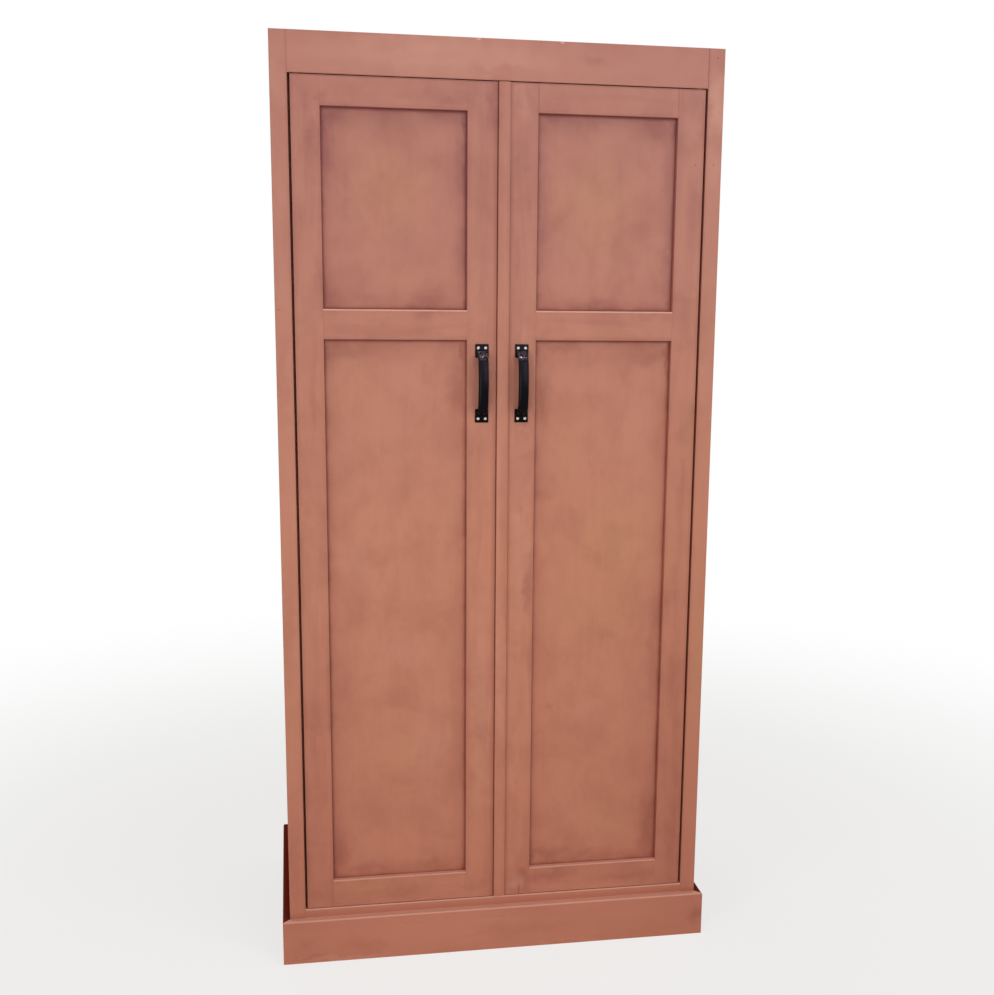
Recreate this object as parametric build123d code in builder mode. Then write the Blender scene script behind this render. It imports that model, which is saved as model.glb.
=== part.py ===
from build123d import *
import math
import os

# A tall two-door cupboard: case, face frame, mitred base, two pivot-hung frame-and-panel doors.
# Millimetres.  X runs to the right, Y to the back, Z up.  The origin is on the floor, in the
# middle of the width and of the full depth, pulls included.

os.makedirs("parts", exist_ok=True)

# ---- Case ---------------------------------------------------------------------------------
case_width = 934.0            # outside of the face frame
case_height = 1981.0
case_depth = 540.0            # front of the face frame to the back of the sides
side_thick = 19.0
top_thick = 19.0
deck_thick = 19.0
deck_height = 122.0           # floor to the upper face of the deck
back_thick = 6.0
back_lap = 10.0               # how far the back laps onto each side, in its rabbet
housing_depth = 6.0           # rabbets and dados that hold the top and the deck

# ---- Face frame ---------------------------------------------------------------------------
stop_gap = 0.4                # closed door to its stop
frame_stile_width = 34.5
frame_head_height = 80.6
frame_sill_height = 82.0
frame_tenon_length = 22.0
frame_tenon_thick = 8.0
frame_tenon_shoulder = 12.0
frame_ease = 1.5              # rounding of the outer corners

# ---- Base ---------------------------------------------------------------------------------
base_height = 100.5
base_thick = 16.0
base_round = 4.0

# ---- Doors --------------------------------------------------------------------------------
door_thick = 22.0
hinge_gap = 4.8               # beside the hinge stile
head_gap = 2.0
sill_gap = 2.0
meeting_gap = 1.0             # between the left door and the astragal
hinge_stile_width = 58.0
lock_stile_width = 62.5
door_top_rail_height = 58.1
door_middle_rail_height = 61.4
door_bottom_rail_height = 62.5
door_middle_rail_centre = 1410.4
door_tenon_length = 34.0
door_tenon_thick = 8.0
door_tenon_forward = 1.0      # middle of the door to the middle of its tenons
tenon_shoulder = 11.0         # from a rail's free edge to its tenon
mortise_spare = 1.5           # glue room at the end of a tenon
door_ease = 1.2
joint_ease = 0.5

# ---- Door panels --------------------------------------------------------------------------
panel_thick = 6.0
panel_recess = 11.0           # face of the door to the face of the panel
groove_depth = 9.0
panel_float = 1.0             # room between a panel's edge and the bottom of its groove

# ---- Astragal -----------------------------------------------------------------------------
astragal_stem_width = 20.4    # fills the space beside the right door's meeting edge
astragal_lip_width = 4.3      # lies on the right door's face
astragal_side = 4.2           # straight part of its sides, in front of the door
astragal_crown = 7.0          # highest point of its rounded face

# ---- Pivots -------------------------------------------------------------------------------
pivot_inset = 12.0            # hinge edge of the door to the pivot
pivot_setback = 9.0           # face of the door to the pivot
pin_diameter = 8.0
pin_depth = 30.0              # in the door
pin_engagement = 12.0         # in the socket
pin_clearance = 0.05          # radial, running fit
seat_clearance = 0.05         # radial, pin in the door and socket in the rail
socket_wall = 1.5
socket_length = 15.0
socket_flange_width = 2.0
socket_bearing_gap = 0.3      # flange to the end of the door

# ---- Pulls --------------------------------------------------------------------------------
pull_length = 165.0
pull_centre = 1289.0
right_pull_shift = 1.1         # clears the astragal; the left pull is mid-stile
pull_plate_width = 28.6
pull_plate_length = 28.5
pull_plate_thick = 3.0
pull_plate_chamfer = 0.8
grip_apex = 31.0              # face of the door to the middle of the grip at its highest
grip_shoulder_out = 27.0      # the same, where the long arc meets the end arcs
grip_shoulder_height = 40.0   # above and below the middle of the pull
grip_foot_height = 62.0
grip_width = 21.5
grip_crown = 4.0
grip_back = 3.5
grip_back_flat = 18.5         # width of the flat back
grip_front_flat = 13.0        # width of the flat front, between the bevels
foot_pad_margin = 1.4
foot_pad_thick = 3.2
foot_pad_chamfer = 1.1
screw_spacing = 15.4
screw_end_margin = 8.4
screw_diameter = 3.6
screw_head_diameter = 6.8
screw_head_height = 2.0
screw_length = 14.0
screw_clearance = 0.2

# ---- Interior -----------------------------------------------------------------------------
shelf_count = 4
shelf_thick = 19.0
shelf_setback = 25.0          # back of the face frame to the front of a shelf
shelf_end_gap = 0.5
cleat_thick = 12.0
cleat_height = 30.0
cleat_chamfer = 6.0
stop_thick = 12.0
stop_drop = 12.0              # overlap of the head stop below the top rail
stop_lap = 40.0               # glued height on the top rail
sill_stop_height = 14.0
sill_stop_round = 4.0
stop_end_margin = 60.0        # hinge edge of the door to the end of a stop
catch_width = 44.0
catch_depth = 20.0
catch_height = 13.0
catch_corner = 2.0
pole_width = 30.0
pole_thick = 2.0
pole_spacing = 5.0
pole_proud = 1.0
strike_width = 36.0
strike_height = 12.0
strike_thick = 1.2
strike_corner = 2.0
strike_gap = 0.3

# ---- Places that follow from the sizes ----------------------------------------------------
frame_thick = door_thick + stop_gap
pull_reach = grip_apex + grip_crown
front = (pull_reach - case_depth) / 2
back = front + case_depth
half = case_width / 2
frame_back = front + frame_thick
head = case_height - frame_head_height
sill = deck_height
sill_foot = sill - frame_sill_height
opening_half = half - frame_stile_width
hinge_edge = opening_half - hinge_gap
door_width = (2 * hinge_edge - meeting_gap - astragal_stem_width) / 2
meeting_edge = hinge_edge - door_width
door_bottom = sill + sill_gap
door_top = head - head_gap
pivot_x = hinge_edge - pivot_inset
pivot_y = front + pivot_setback
middle_rail_bottom = door_middle_rail_centre - door_middle_rail_height / 2
middle_rail_top = door_middle_rail_centre + door_middle_rail_height / 2
bottom_rail_top = door_bottom + door_bottom_rail_height
top_rail_bottom = door_top - door_top_rail_height
panel_front = front + panel_recess
inner_half = half - side_thick
back_front = back - back_thick
face = Plane.XZ.offset(-front)


def save(builder, label):
    """Label a finished piece and write its STEP file."""
    builder.part.label = label
    export_step(builder.part, f"parts/{label}.step")


def block(x_limits, y_limits, z_limits, mode=Mode.ADD):
    """A board, or a cut, between two limits on each axis."""
    sizes = [abs(high - low) for low, high in (x_limits, y_limits, z_limits)]
    middle = [(low + high) / 2 for low, high in (x_limits, y_limits, z_limits)]
    with Locations(tuple(middle)):
        Box(*sizes, mode=mode)


def front_edges(builder, axis):
    """The edges of a piece along one axis that lie in its front face."""
    return builder.edges().filter_by(axis).group_by(Axis.Y)[0]


# ---- Case ---------------------------------------------------------------------------------
def make_side(label, side):
    """A side panel: rabbeted for the top and the back, with a dado for the deck."""
    inside = side * (half - side_thick)
    with BuildPart() as panel:
        block((side * half, inside), (frame_back, back), (0, case_height))
        housing = (inside + side * housing_depth, inside)
        block(housing, (frame_back, back), (case_height - top_thick, case_height), Mode.SUBTRACT)
        block(housing, (frame_back, back), (sill - deck_thick, sill), Mode.SUBTRACT)
        rabbet = (inside + side * back_lap, inside)
        block(rabbet, (back_front, back), (sill - deck_thick, case_height), Mode.SUBTRACT)
    save(panel, label)


make_side("left_side_panel", -1)
make_side("right_side_panel", 1)

housed_half = inner_half + housing_depth

with BuildPart() as top_board:
    block((-housed_half, housed_half), (frame_back, back_front), (case_height - top_thick, case_height))
save(top_board, "top_board")

with BuildPart() as deck_board:
    block((-housed_half, housed_half), (frame_back, back_front), (sill - deck_thick, sill))
save(deck_board, "deck_board")

with BuildPart() as back_panel:
    back_half = inner_half + back_lap
    block((-back_half, back_half), (back_front, back), (sill - deck_thick, case_height))
save(back_panel, "back_panel")

# The shelves divide the inside height into equal compartments.  Each one lies on two cleats.
compartment = (case_height - top_thick - sill) / (shelf_count + 1)
shelf_front = frame_back + shelf_setback
for number in range(1, shelf_count + 1):
    shelf_top = sill + number * compartment
    shelf_bottom = shelf_top - shelf_thick
    shelf_half = inner_half - shelf_end_gap
    with BuildPart() as shelf:
        block((-shelf_half, shelf_half), (shelf_front, back_front), (shelf_bottom, shelf_top))
        fillet(front_edges(shelf, Axis.X), joint_ease)
    save(shelf, f"shelf_{number}")
    for name, side in (("left", -1), ("right", 1)):
        with BuildPart() as cleat:
            cleat_x = (side * inner_half, side * (inner_half - cleat_thick))
            block(cleat_x, (shelf_front, back_front), (shelf_bottom - cleat_height, shelf_bottom))
            free_edges = cleat.edges().filter_by(Axis.Z).group_by(Axis.Y)[0]
            chamfer(free_edges.sort_by(Axis.X)[0 if side > 0 else -1], cleat_chamfer)
        save(cleat, f"{name}_shelf_cleat_{number}")


# ---- Face frame ---------------------------------------------------------------------------
tenon_front = front + (frame_thick - frame_tenon_thick) / 2
tenon_back = tenon_front + frame_tenon_thick
head_tenon = (head + frame_tenon_shoulder, case_height - frame_tenon_shoulder)
sill_tenon = (sill_foot + frame_tenon_shoulder, sill - frame_tenon_shoulder)


def make_frame_stile(label, side):
    """A stile of the face frame, the full height of the case, with two blind mortises."""
    inner = side * opening_half
    with BuildPart() as stile:
        block((side * half, inner), (front, frame_back), (0, case_height))
        outer_edge = front_edges(stile, Axis.Z).sort_by(Axis.X)[-1 if side > 0 else 0]
        fillet(outer_edge, frame_ease)
        inner_edge = front_edges(stile, Axis.Z).sort_by(Axis.X)[0 if side > 0 else -1]
        fillet(inner_edge, joint_ease)
        mortise = (inner + side * (frame_tenon_length + mortise_spare), inner)
        for tenon in (head_tenon, sill_tenon):
            block(mortise, (tenon_front, tenon_back), tenon, Mode.SUBTRACT)
    save(stile, label)


def make_frame_rail(label, z_limits, tenon, socket_face, bore_up):
    """A rail of the face frame: a tenon at each end and two bores for the pivot sockets."""
    with BuildPart() as rail:
        block((-opening_half, opening_half), (front, frame_back), z_limits)
        fillet(front_edges(rail, Axis.X).sort_by(Axis.Z)[0 if bore_up else -1], joint_ease)
        reach = opening_half + frame_tenon_length
        block((-reach, reach), (tenon_front, tenon_back), tenon)
        bore_plane = Plane.XY.offset(socket_face)
        with BuildSketch(bore_plane):
            with Locations((-pivot_x, pivot_y), (pivot_x, pivot_y)):
                Circle(pin_diameter / 2 + pin_clearance + socket_wall + seat_clearance)
        depth = socket_length + mortise_spare
        extrude(amount=depth if bore_up else -depth, mode=Mode.SUBTRACT)
    save(rail, label)


make_frame_stile("frame_left_stile", -1)
make_frame_stile("frame_right_stile", 1)
make_frame_rail("frame_top_rail", (head, case_height), head_tenon, head, True)
make_frame_rail("frame_bottom_rail", (sill_foot, sill), sill_tenon, sill, False)

# ---- Base: three boards, mitred at the front corners, standing on the floor ----------------
base_half = half + base_thick
base_front = front - base_thick

with BuildPart() as base_front_board:
    with BuildSketch() as front_plan:
        with BuildLine():
            Polyline((-base_half, base_front), (base_half, base_front), (half, front), (-half, front),
                     close=True)
        make_face()
    extrude(amount=base_height)
    fillet(front_edges(base_front_board, Axis.X).sort_by(Axis.Z)[-1], base_round)
save(base_front_board, "base_front_board")


def make_base_return(label, side):
    """A side board of the base, from the mitre to the back of the case."""
    with BuildPart() as board:
        with BuildSketch():
            with BuildLine():
                Polyline((side * base_half, base_front), (side * half, front), (side * half, back),
                         (side * base_half, back), close=True)
            make_face()
        extrude(amount=base_height)
        upper = board.edges().filter_by(Axis.Y).group_by(Axis.Z)[-1]
        fillet(upper.sort_by(Axis.X)[-1 if side > 0 else 0], base_round)
    save(board, label)


make_base_return("base_left_board", -1)
make_base_return("base_right_board", 1)

# ---- Door stops, on the back of the top rail and on the deck -------------------------------
stop_half = hinge_edge - stop_end_margin
stop_back = frame_back + stop_thick

with BuildPart() as head_stop:
    block((-stop_half, stop_half), (frame_back, stop_back), (head - stop_drop, head + stop_lap))
save(head_stop, "head_stop")

with BuildPart() as sill_stop:
    block((-stop_half, stop_half), (frame_back, stop_back), (sill, sill + sill_stop_height))
    upper_back = sill_stop.edges().filter_by(Axis.X).group_by(Axis.Z)[-1].sort_by(Axis.Y)[-1]
    fillet(upper_back, sill_stop_round)
save(sill_stop, "sill_stop")

# ---- Magnetic catches under the head stop, one for each door -------------------------------
door_back = front + door_thick
pole_front = door_back + strike_thick + strike_gap
catch_front = pole_front + pole_proud
catch_top = head - stop_drop
catch_middle = catch_top - catch_height / 2
left_lock_middle = -(meeting_edge + lock_stile_width / 2)
right_lock_middle = meeting_edge + lock_stile_width / 2

for name, catch_x in (("left", left_lock_middle), ("right", right_lock_middle)):
    with BuildPart() as catch:
        block((catch_x - catch_width / 2, catch_x + catch_width / 2),
              (catch_front, catch_front + catch_depth), (catch_top - catch_height, catch_top))
        chamfer(catch.edges().filter_by(Axis.Z), catch_corner)
        for level in (-pole_spacing / 2, pole_spacing / 2):
            block((catch_x - pole_width / 2, catch_x + pole_width / 2),
                  (catch_front, catch_front + catch_depth / 2),
                  (catch_middle + level - pole_thick / 2, catch_middle + level + pole_thick / 2),
                  Mode.SUBTRACT)
    save(catch, f"{name}_catch_case")
    with BuildPart() as poles:
        for level in (-pole_spacing / 2, pole_spacing / 2):
            block((catch_x - pole_width / 2, catch_x + pole_width / 2),
                  (pole_front, catch_front + catch_depth / 2),
                  (catch_middle + level - pole_thick / 2, catch_middle + level + pole_thick / 2))
    save(poles, f"{name}_catch_poles")

# ---- Pivot sockets: flanged sleeves pressed into the rails ---------------------------------
socket_bore = pin_diameter / 2 + pin_clearance
socket_outer = socket_bore + socket_wall
flange_radius = socket_outer + socket_flange_width


def make_sockets(label, face_height, gap, up):
    """Two sleeves in one rail, each with a flange that the end of the door runs against."""
    inward = 1 if up else -1
    flange_thick = gap - socket_bearing_gap
    flange_plane = Plane.XY.offset(face_height - inward * flange_thick)
    places = ((-pivot_x, pivot_y), (pivot_x, pivot_y))
    with BuildPart() as sockets:
        for radius, length, mode in ((flange_radius, flange_thick, Mode.ADD),
                                     (socket_outer, flange_thick + socket_length, Mode.ADD),
                                     (socket_bore, flange_thick + socket_length, Mode.SUBTRACT)):
            with BuildSketch(flange_plane):
                with Locations(*places):
                    Circle(radius)
            extrude(amount=inward * length, mode=mode)
    save(sockets, label)


make_sockets("head_sockets", head, head_gap, True)
make_sockets("sill_sockets", sill, sill_gap, False)


# ---- Doors --------------------------------------------------------------------------------
end_reach = pull_length / 2
plate_middle = end_reach - pull_plate_length / 2
screw_row = end_reach - screw_end_margin
door_tenon_front = front + (door_thick - door_tenon_thick) / 2 - door_tenon_forward
door_tenon_back = door_tenon_front + door_tenon_thick
door_tenons = (
    (door_bottom + tenon_shoulder, bottom_rail_top - tenon_shoulder),
    (middle_rail_bottom + tenon_shoulder, middle_rail_top - tenon_shoulder),
    (top_rail_bottom + tenon_shoulder, door_top - tenon_shoulder),
)
panel_openings = ((bottom_rail_top, middle_rail_bottom), (middle_rail_top, top_rail_bottom))
panel_x = (meeting_edge + lock_stile_width, hinge_edge - hinge_stile_width)


def screw_places(x):
    """The two columns and two rows of a pull's screws, as (x, z) pairs."""
    columns = (x - screw_spacing / 2, x + screw_spacing / 2)
    rows = (pull_centre - screw_row, pull_centre + screw_row)
    return [(column, row) for row in rows for column in columns]


def make_door_stile(label, side, outer, inner, pivots=False, pull_x=None):
    """A stile: mortised for three rails, grooved for two panels, bored for pins or screws."""
    with BuildPart() as stile:
        block((side * outer, side * inner), (front, front + door_thick), (door_bottom, door_top))
        outward = 1 if side * outer > side * inner else -1
        upright = front_edges(stile, Axis.Z).sort_by(Axis.X)
        fillet(upright[-1 if outward > 0 else 0], door_ease)
        fillet(front_edges(stile, Axis.Z).sort_by(Axis.X)[0 if outward > 0 else -1], joint_ease)
        into = 1 if outer > inner else -1
        mortise_end = inner + into * (door_tenon_length + mortise_spare)
        for tenon in door_tenons:
            block((side * mortise_end, side * inner), (door_tenon_front, door_tenon_back), tenon,
                  Mode.SUBTRACT)
        groove_end = inner + into * groove_depth
        for low, high in panel_openings:
            block((side * groove_end, side * inner), (panel_front, panel_front + panel_thick),
                  (low - groove_depth, high + groove_depth), Mode.SUBTRACT)
        if pivots:
            for end, depth in ((door_bottom, pin_depth), (door_top, -pin_depth)):
                with BuildSketch(Plane.XY.offset(end)):
                    with Locations((side * pivot_x, pivot_y)):
                        Circle(pin_diameter / 2 + seat_clearance)
                extrude(amount=depth, mode=Mode.SUBTRACT)
        if pull_x is not None:
            with BuildSketch(face):
                with Locations(*screw_places(pull_x)):
                    Circle(screw_diameter / 2 + seat_clearance)
            extrude(amount=-screw_length, mode=Mode.SUBTRACT)
    save(stile, label)


def make_door_rail(label, side, z_limits, tenon, openings):
    """A rail between the stiles, tenoned at both ends and grooved along its panel edges."""
    near, far = panel_x
    with BuildPart() as rail:
        block((side * near, side * far), (front, front + door_thick), z_limits)
        fillet(front_edges(rail, Axis.X), joint_ease)
        tenon_x = (side * (near - door_tenon_length), side * (far + door_tenon_length))
        block(tenon_x, (door_tenon_front, door_tenon_back), tenon)
        for low, high in openings:
            block((side * near, side * far), (panel_front, panel_front + panel_thick),
                  (low - groove_depth, high + groove_depth), Mode.SUBTRACT)
    save(rail, label)


def make_panel(label, side, opening):
    """A flat panel that floats in the grooves of the stiles and rails."""
    lap = groove_depth - panel_float
    near, far = panel_x
    with BuildPart() as panel:
        block((side * (near - lap), side * (far + lap)), (panel_front, panel_front + panel_thick),
              (opening[0] - lap, opening[1] + lap))
    save(panel, label)


def make_pins(label, side):
    """The two pivot pins of one door, fixed in the ends of its hinge stile."""
    with BuildPart() as pins:
        for end, gap, up in ((door_bottom, sill_gap, -1), (door_top, head_gap, 1)):
            with BuildSketch(Plane.XY.offset(end - up * pin_depth)):
                with Locations((side * pivot_x, pivot_y)):
                    Circle(pin_diameter / 2)
            extrude(amount=up * (pin_depth + gap + pin_engagement))
    save(pins, label)


# ---- Pulls --------------------------------------------------------------------------------
def turn_section(arc, across):
    """Turn the grip's section, a strap with bevelled edges, along one arc of its middle line."""
    with BuildSketch(Plane(arc @ 0, x_dir=across, z_dir=arc % 0)) as section:
        with BuildLine():
            Polyline((-grip_width / 2, 0), (-grip_back_flat / 2, -grip_back),
                     (grip_back_flat / 2, -grip_back), (grip_width / 2, 0),
                     (grip_front_flat / 2, grip_crown), (-grip_front_flat / 2, grip_crown),
                     close=True)
        make_face()
    pivot = Axis(arc.arc_center, (arc @ 0 - arc.arc_center).cross(arc % 0))
    revolve(section.sketch, axis=pivot, revolution_arc=math.degrees(arc.length / arc.radius))


def make_pull(label, x):
    """A cast pull: two screw plates, two raised foot pads and an arched, bevelled grip."""
    side_plane = Plane.YZ.offset(x)
    feet = ((x, pull_centre - grip_foot_height), (x, pull_centre + grip_foot_height))
    shoulder = front - grip_shoulder_out
    landing = front - pull_plate_thick / 2
    with BuildPart() as pull:
        with BuildSketch(face):
            with Locations((x, pull_centre - plate_middle), (x, pull_centre + plate_middle)):
                Rectangle(pull_plate_width, pull_plate_length)
        extrude(amount=pull_plate_thick)
        chamfer(pull.faces().group_by(Axis.Y)[0].edges(), pull_plate_chamfer)
        with BuildSketch(face.offset(pull_plate_thick)):
            with Locations(*feet):
                Rectangle(grip_width + 2 * foot_pad_margin,
                          grip_crown + grip_back + 2 * foot_pad_margin)
        extrude(amount=foot_pad_thick)
        chamfer(pull.faces().group_by(Axis.Y)[0].edges(), foot_pad_chamfer)
        with BuildLine(side_plane):
            crest = ThreePointArc((shoulder, pull_centre + grip_shoulder_height),
                                  (front - grip_apex, pull_centre),
                                  (shoulder, pull_centre - grip_shoulder_height))
            low_foot = side_plane.from_local_coords((landing, pull_centre - grip_foot_height))
            low_bend = TangentArc(crest @ 1, low_foot, tangent=crest % 1)
            high_foot = side_plane.from_local_coords((landing, pull_centre + grip_foot_height))
            high_bend = TangentArc(crest @ 0, high_foot, tangent=-(crest % 0))
        turn_section(crest, (1, 0, 0))
        turn_section(low_bend, (1, 0, 0))
        turn_section(high_bend, (-1, 0, 0))
        with BuildSketch(face):
            with Locations(*screw_places(x)):
                Circle(screw_diameter / 2 + screw_clearance)
        extrude(amount=pull_plate_thick, mode=Mode.SUBTRACT)
    save(pull, label)


def make_pull_screws(label, x):
    """Four pan-head screws, through the plates into the door."""
    with BuildPart() as screws:
        with BuildSketch(face.offset(pull_plate_thick)):
            with Locations(*screw_places(x)):
                Circle(screw_head_diameter / 2)
        extrude(amount=screw_head_height)
        with BuildSketch(face.offset(pull_plate_thick)):
            with Locations(*screw_places(x)):
                Circle(screw_diameter / 2)
        extrude(amount=-pull_plate_thick - screw_length)
    save(screws, label)


def make_strike(label, x):
    """The catch's strike plate on the back of the door."""
    with BuildPart() as strike:
        with BuildSketch(Plane.XZ.offset(-door_back)):
            with Locations((x, catch_middle)):
                RectangleRounded(strike_width, strike_height, strike_corner)
        extrude(amount=-strike_thick)
    save(strike, label)


# Both doors are the same, mirrored: side is -1 for the left door and 1 for the right.
pull_places = {
    "left": left_lock_middle,
    "right": right_lock_middle + right_pull_shift,
}
for name, side in (("left", -1), ("right", 1)):
    lower_opening, upper_opening = panel_openings
    make_door_stile(f"{name}_door_hinge_stile", side, hinge_edge, panel_x[1], pivots=True)
    make_door_stile(f"{name}_door_lock_stile", side, meeting_edge, panel_x[0],
                    pull_x=pull_places[name])
    make_door_rail(f"{name}_door_bottom_rail", side, (door_bottom, bottom_rail_top), door_tenons[0],
                   (lower_opening,))
    make_door_rail(f"{name}_door_middle_rail", side, (middle_rail_bottom, middle_rail_top),
                   door_tenons[1], panel_openings)
    make_door_rail(f"{name}_door_top_rail", side, (top_rail_bottom, door_top), door_tenons[2],
                   (upper_opening,))
    make_panel(f"{name}_door_lower_panel", side, lower_opening)
    make_panel(f"{name}_door_upper_panel", side, upper_opening)
    make_pins(f"{name}_door_pivot_pins", side)
    make_pull(f"{name}_pull", pull_places[name])
    make_pull_screws(f"{name}_pull_screws", pull_places[name])
    make_strike(f"{name}_strike_plate", left_lock_middle if side < 0 else right_lock_middle)

# ---- Astragal: glued to the right door's meeting edge, its lip on the door's face ----------
astragal_left = meeting_edge - astragal_stem_width
astragal_right = meeting_edge + astragal_lip_width
with BuildPart() as astragal:
    with BuildSketch(Plane.XY.offset(door_bottom)):
        with BuildLine():
            ThreePointArc((astragal_left, front - astragal_side),
                          ((astragal_left + astragal_right) / 2, front - astragal_crown),
                          (astragal_right, front - astragal_side))
            Polyline((astragal_right, front - astragal_side), (astragal_right, front),
                     (meeting_edge, front), (meeting_edge, front + door_thick),
                     (astragal_left, front + door_thick), (astragal_left, front - astragal_side))
        make_face()
    extrude(amount=door_top - door_bottom)
    shoulders = astragal.edges().filter_by(Axis.Z).group_by(Axis.Y)[0]
    fillet(shoulders, door_ease)
save(astragal, "astragal")
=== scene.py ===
from functools import partial
from math import radians

import bmesh
import bpy
import numpy as np
from bpy.props import FloatProperty, FloatVectorProperty, PointerProperty
from mathutils import Matrix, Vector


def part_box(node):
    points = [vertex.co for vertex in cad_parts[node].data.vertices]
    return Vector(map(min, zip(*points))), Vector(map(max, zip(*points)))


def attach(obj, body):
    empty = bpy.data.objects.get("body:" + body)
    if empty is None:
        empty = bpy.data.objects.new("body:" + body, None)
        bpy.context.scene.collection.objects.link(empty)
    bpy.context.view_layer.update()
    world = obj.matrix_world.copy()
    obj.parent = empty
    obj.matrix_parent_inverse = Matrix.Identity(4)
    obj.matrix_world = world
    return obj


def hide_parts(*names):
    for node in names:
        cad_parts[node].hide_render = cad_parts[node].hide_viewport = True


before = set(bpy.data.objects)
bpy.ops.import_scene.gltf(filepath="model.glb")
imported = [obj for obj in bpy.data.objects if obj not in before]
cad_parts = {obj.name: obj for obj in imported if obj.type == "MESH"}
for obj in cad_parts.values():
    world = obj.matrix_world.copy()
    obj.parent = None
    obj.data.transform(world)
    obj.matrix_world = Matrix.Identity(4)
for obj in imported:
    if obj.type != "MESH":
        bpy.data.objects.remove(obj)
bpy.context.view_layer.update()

# A tall two-door store cupboard: hand-painted case and doors, cast pulls, bare pine inside.
# Metres in the frame's axes: X to the right, Y to the back, Z up from the floor.

bl_info = {
    "name": "Store Cupboard Looks",
    "version": (1, 0, 0),
    "blender": (4, 5, 0),
    "location": "3D View > Sidebar > Cupboard",
    "description": "Paint, metal and bare wood for a two-door cupboard, with its cast pulls and trim",
    "category": "Object",
}

DOORS = ("left", "right")
CASE_UPRIGHTS = ("frame_left_stile", "frame_right_stile", "left_side_panel", "right_side_panel")
CASE_LEVELS = ("frame_top_rail", "frame_bottom_rail", "base_front_board", "top_board")
BASE_RETURNS = ("base_left_board", "base_right_board")
DOOR_UPRIGHTS = [f"{door}_door_{part}_stile" for part in ("hinge", "lock") for door in DOORS]
DOOR_LEVELS = [f"{door}_door_{part}_rail" for part in ("top", "middle", "bottom") for door in DOORS]
PANELS = [f"{door}_door_{part}_panel" for part in ("upper", "lower") for door in DOORS]
PANEL_LAP = 8  # how far a door panel reaches into its groove, in millimetres

# Marks on the panels and on the boards about them: smudges of glaze from the wiping cloth, which
# in the panel corners and beside the pulls also paint the shade there; where the ochre ground
# shows; and where the paint is paler. Each is an ellipse (x, z, half width, half height) in
# millimetres, and its strength in percent.
PANEL_MARKS = {"Smudges": (
    (-352, 1822, 46, 32, 34), (-100, 1828, 60, 22, 20), (-358, 1745, 22, 84, 24),
    (-298, 1735, 36, 30, 10), (-86, 1745, 18, 80, 20), (-86, 1560, 18, 90, 18),
    (-345, 1462, 50, 34, 18), (-262, 1462, 70, 24, 14), (-160, 1462, 52, 26, 24),
    (-320, 1580, 56, 40, 8), (-180, 1560, 90, 60, 7), (338, 1816, 46, 34, 18),
    (356, 1740, 20, 84, 22), (110, 1832, 60, 16, 18), (190, 1828, 70, 14, 14),
    (195, 1456, 110, 16, 20), (205, 1575, 22, 12, 8), (90, 1650, 20, 150, 12),
    (356, 1540, 16, 80, 16), (-96, 1268, 32, 74, 26), (90, 1268, 26, 70, 26),
    (-318, 1352, 80, 26, 20), (328, 1346, 70, 32, 20), (125, 1364, 60, 14, 14),
    (-212, 1152, 100, 26, 7), (98, 1048, 38, 18, 12), (-300, 925, 56, 44, 8),
    (-228, 604, 60, 38, 11), (116, 562, 14, 13, 16), (165, 518, 70, 42, 9),
    (-240, 330, 110, 60, 8), (-356, 250, 34, 90, 26), (-290, 208, 80, 22, 22),
    (-150, 207, 120, 18, 18), (120, 216, 100, 20, 24), (230, 204, 110, 16, 20),
    (350, 260, 30, 110, 34), (300, 420, 70, 60, 10), (352, 700, 16, 180, 16),
    (-96, 500, 20, 260, 8), (364, 1350, 10, 56, 42), (-364, 1812, 10, 64, 42),
    (-80, 1822, 10, 40, 46), (362, 1822, 12, 38, 42), (-364, 1362, 9, 40, 26),
    (-82, 1362, 9, 36, 34), (-82, 198, 13, 15, 46), (364, 198, 14, 18, 46),
    (-364, 198, 10, 20, 36), (80, 198, 13, 12, 36), (-80, 1452, 8, 16, 36), (364, 1452, 8, 16, 30),
    (-210, 1765, 90, 40, 7), (262, 1762, 80, 44, 12)
), "Ochre": (
    (-235, 1690, 120, 120, 40), (200, 1660, 130, 140, 40), (265, 930, 110, 140, 50),
    (210, 780, 130, 90, 35), (-300, 1260, 90, 90, 20), (-210, 470, 90, 60, 25),
    (150, 1180, 80, 120, 15), (250, 300, 90, 60, 20)
), "Pale": (
    (-210, 700, 70, 60, 10), (-310, 900, 60, 90, 7), (-190, 1300, 70, 50, 6),
    (200, 560, 90, 60, 7), (150, 300, 60, 60, 6), (300, 1180, 50, 90, 6), (-150, 490, 60, 170, 12))}
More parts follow.
